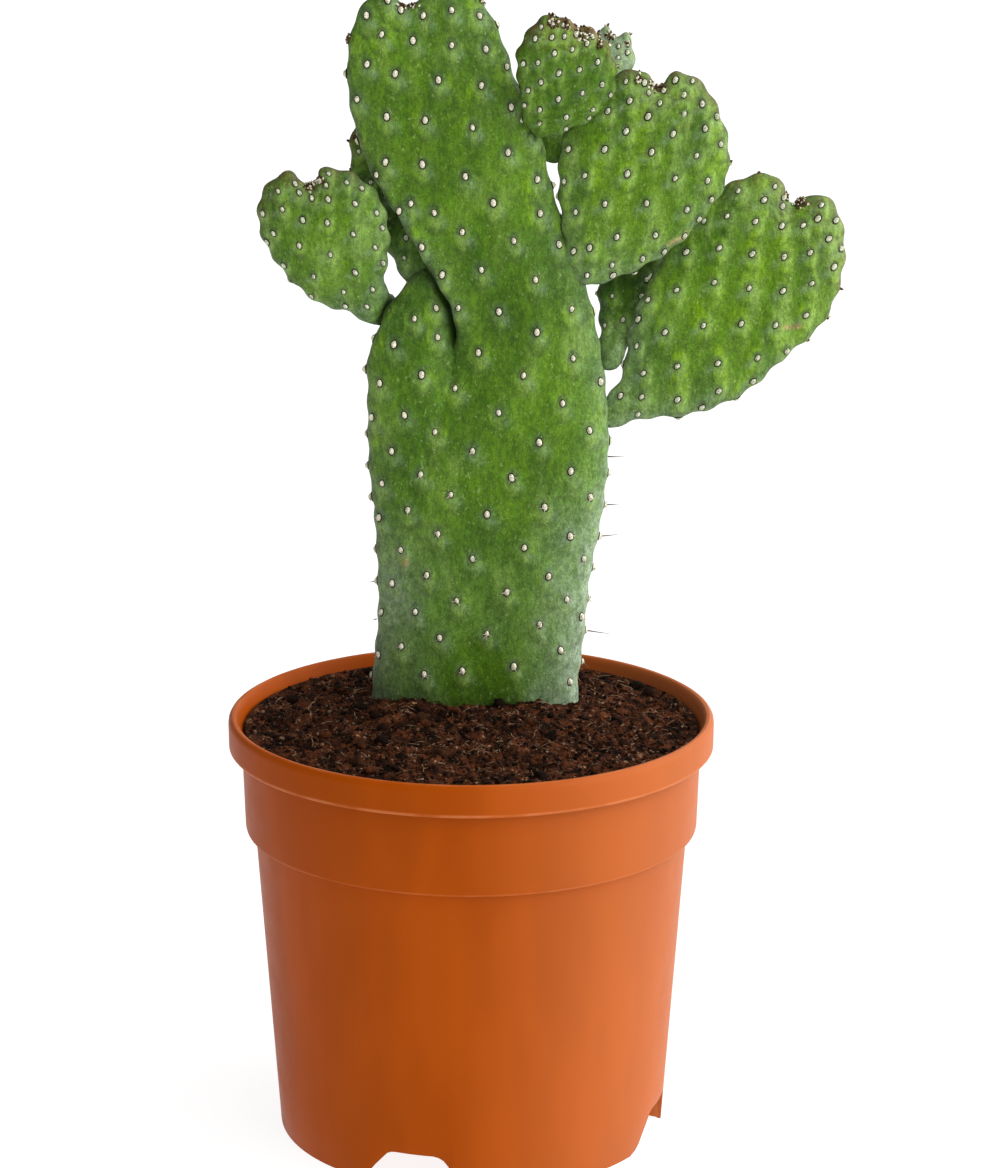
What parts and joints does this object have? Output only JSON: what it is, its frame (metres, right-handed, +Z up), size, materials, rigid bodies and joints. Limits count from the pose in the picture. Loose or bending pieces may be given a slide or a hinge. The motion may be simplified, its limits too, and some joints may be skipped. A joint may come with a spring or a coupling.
{
  "type": "potted paddle cactus",
  "caption": "Upright forked paddle cactus with side paddles and pale areoles, rooted in dark soil in a round tapered plastic nursery pot.",
  "frame": {"origin": "middle of the object's footprint box, on the surface that the pot stands on; the pot's axis is 23 mm towards -X from it", "axes": "+Z up; -Y towards the front of the flattened stem; +X towards the largest paddle"},
  "size_m": [0.216, 0.17, 0.4031],
  "materials": {
    "pot_plastic": "satin",
    "soil": "matte",
    "cactus_stem": "satin",
    "cactus_paddle": "satin"
  },
  "bodies": {
    "root": {"pot": "pot_plastic", "soil": "soil", "trunk": "cactus_stem", "pad_left": "cactus_paddle", "pad_back_left": "cactus_paddle", "pad_top_small": "cactus_paddle", "pad_top_back": "cactus_paddle", "pad_upper_right": "cactus_paddle", "pad_narrow_back": "cactus_paddle", "pad_lower_right": "cactus_paddle"}
  },
  "joints": []
}
